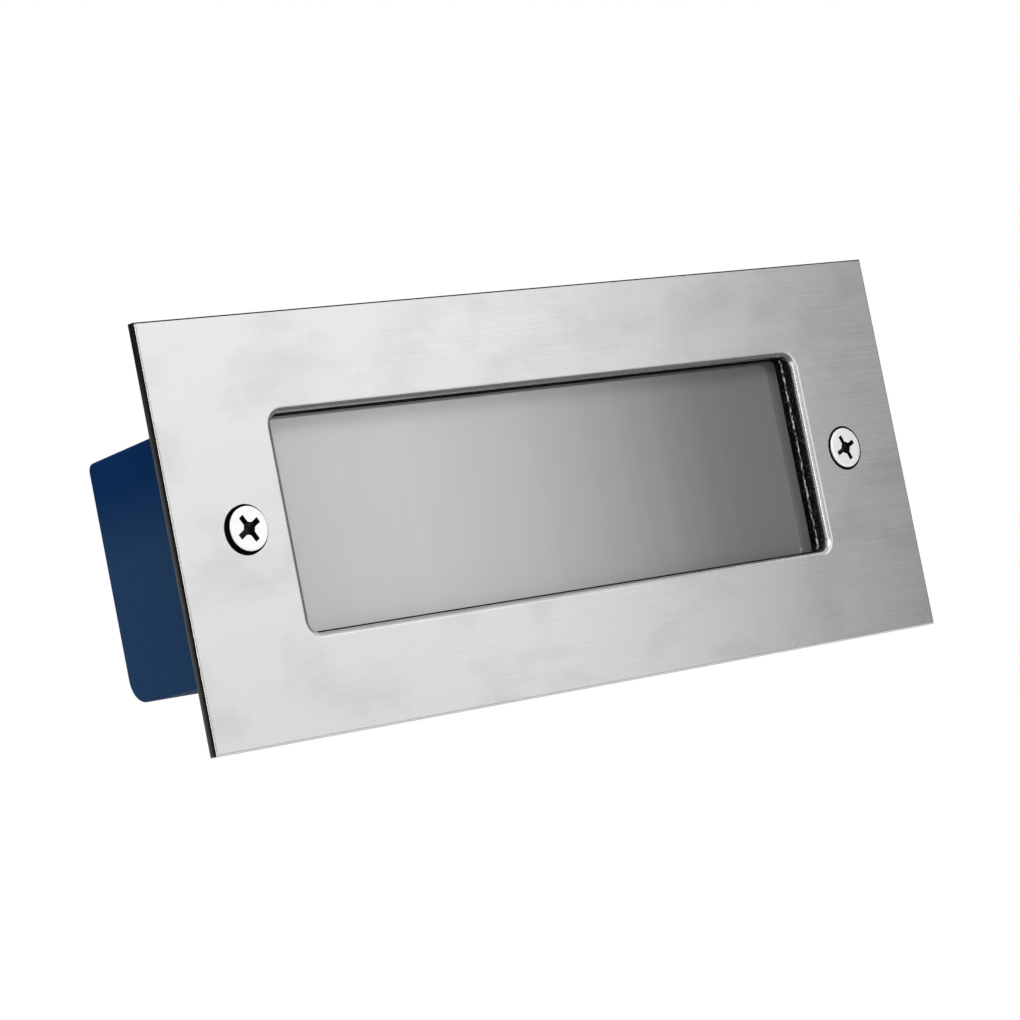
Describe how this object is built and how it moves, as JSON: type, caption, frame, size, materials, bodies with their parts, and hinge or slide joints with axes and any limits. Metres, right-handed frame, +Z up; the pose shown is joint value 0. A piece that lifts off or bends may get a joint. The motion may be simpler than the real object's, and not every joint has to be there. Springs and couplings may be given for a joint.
{
  "type": "step light",
  "caption": "Recessed wall step light: brushed steel face plate with a frosted glass window, held by countersunk screws to a moulded back box with a cable gland.",
  "frame": {"origin": "centre of the face plate's back face, on the wall's surface", "axes": "+X along the plate to the right seen from the front, +Y into the wall, +Z up"},
  "size_m": [0.235, 0.0765, 0.099],
  "materials": {
    "brushed_stainless": "fine grain along the plate's length",
    "frosted_glass": "acid-frosted grey tempered glass",
    "black_silicone": "soft black sealant with a slight sheen",
    "blue_moulding": "fine-textured dark blue moulding",
    "bright_nickel": "bright nickel plate",
    "insert_brass": "turned",
    "gasket_rubber": "matte",
    "tray_enamel": "white baked enamel",
    "board_white": "white solder mask",
    "led_phosphor": "yellow silicone dome over a white body",
    "zinc_plate": "bright zinc plate",
    "driver_white": "white moulding",
    "board_green": "green solder mask",
    "winding_tape": "yellow tape over a ferrite core",
    "capacitor_sleeve": "black shrink sleeve",
    "terminal_grey": "light grey moulding",
    "lever_orange": "orange moulding",
    "contact_copper": "tinned copper strip",
    "lead_red": "soft insulation",
    "lead_black": "soft insulation",
    "gland_black": "black nylon"
  },
  "bodies": {
    "box": {"back_box": "blue_moulding", "brass_inserts": "insert_brass", "chamber_gasket": "gasket_rubber", "light_tray": "tray_enamel", "tray_screws": "zinc_plate", "led_board": "board_white", "board_screws": "zinc_plate", "leds": "led_phosphor", "tray_grommet": "gasket_rubber", "driver_case": "driver_white", "driver_lid": "driver_white", "driver_screws": "zinc_plate", "driver_board": "board_green", "driver_transformer": "winding_tape", "driver_capacitors": "capacitor_sleeve", "terminal_body": "terminal_grey", "terminal_screws": "zinc_plate", "terminal_contacts": "contact_copper", "lever_pin": "zinc_plate", "led_lead_red": "lead_red", "led_lead_black": "lead_black", "supply_lead_red": "lead_red", "supply_lead_black": "lead_black", "gland_body": "gland_black", "gland_washer": "gasket_rubber", "gland_locknut": "gland_black"},
    "plate": {"face_plate": "brushed_stainless", "glass_seal": "black_silicone", "lens_glass": "frosted_glass"},
    "left_seal": {"left_screw_seal": "gasket_rubber"},
    "left_screw": {"left_face_screw": "bright_nickel"},
    "right_seal": {"right_screw_seal": "gasket_rubber"},
    "right_screw": {"right_face_screw": "bright_nickel"},
    "upper_lever": {"upper_terminal_lever": "lever_orange"},
    "lower_lever": {"lower_terminal_lever": "lever_orange"},
    "cap_seal": {"gland_seal": "gasket_rubber"},
    "cap": {"gland_cap": "gland_black"}
  },
  "joints": [
    {"name": "plate_removal", "type": "slide", "parent": "box", "child": "plate", "axis": [0, -1, 0], "range_m": [0, 0.06]},
    {"name": "left_screw_travel", "type": "slide", "parent": "plate", "child": "left_seal", "axis": [0, -1, 0], "range_m": [0, 0.0136]},
    {"name": "left_screw_turn", "type": "hinge", "parent": "left_seal", "child": "left_screw", "pos_m": [-0.0975, 0, 0], "axis": [0, -1, 0], "range_deg": [0, 6120]},
    {"name": "right_screw_travel", "type": "slide", "parent": "plate", "child": "right_seal", "axis": [0, -1, 0], "range_m": [0, 0.0136]},
    {"name": "right_screw_turn", "type": "hinge", "parent": "right_seal", "child": "right_screw", "pos_m": [0.0975, 0, 0], "axis": [0, -1, 0], "range_deg": [0, 6120]},
    {"name": "cap_travel", "type": "slide", "parent": "box", "child": "cap_seal", "axis": [0, 1, 0], "range_m": [0, 0.0075]},
    {"name": "cap_turn", "type": "hinge", "parent": "cap_seal", "child": "cap", "pos_m": [0.0625, 0, 0], "axis": [0, 1, 0], "range_deg": [0, 1800]},
    {"name": "upper_lever_hinge", "type": "hinge", "parent": "box", "child": "upper_lever", "pos_m": [0.0256, 0.0383, 0], "axis": [0, 0, -1], "range_deg": [0, 90]},
    {"name": "lower_lever_hinge", "type": "hinge", "parent": "box", "child": "lower_lever", "pos_m": [0.0256, 0.0383, 0], "axis": [0, 0, -1], "range_deg": [0, 90]}
  ],
  "couplings": [
    {"joint": "left_screw_turn", "follows": "left_screw_travel", "rad_per_m": 7854},
    {"joint": "right_screw_turn", "follows": "right_screw_travel", "rad_per_m": 7854},
    {"joint": "cap_turn", "follows": "cap_travel", "rad_per_m": 4188.8}
  ]
}
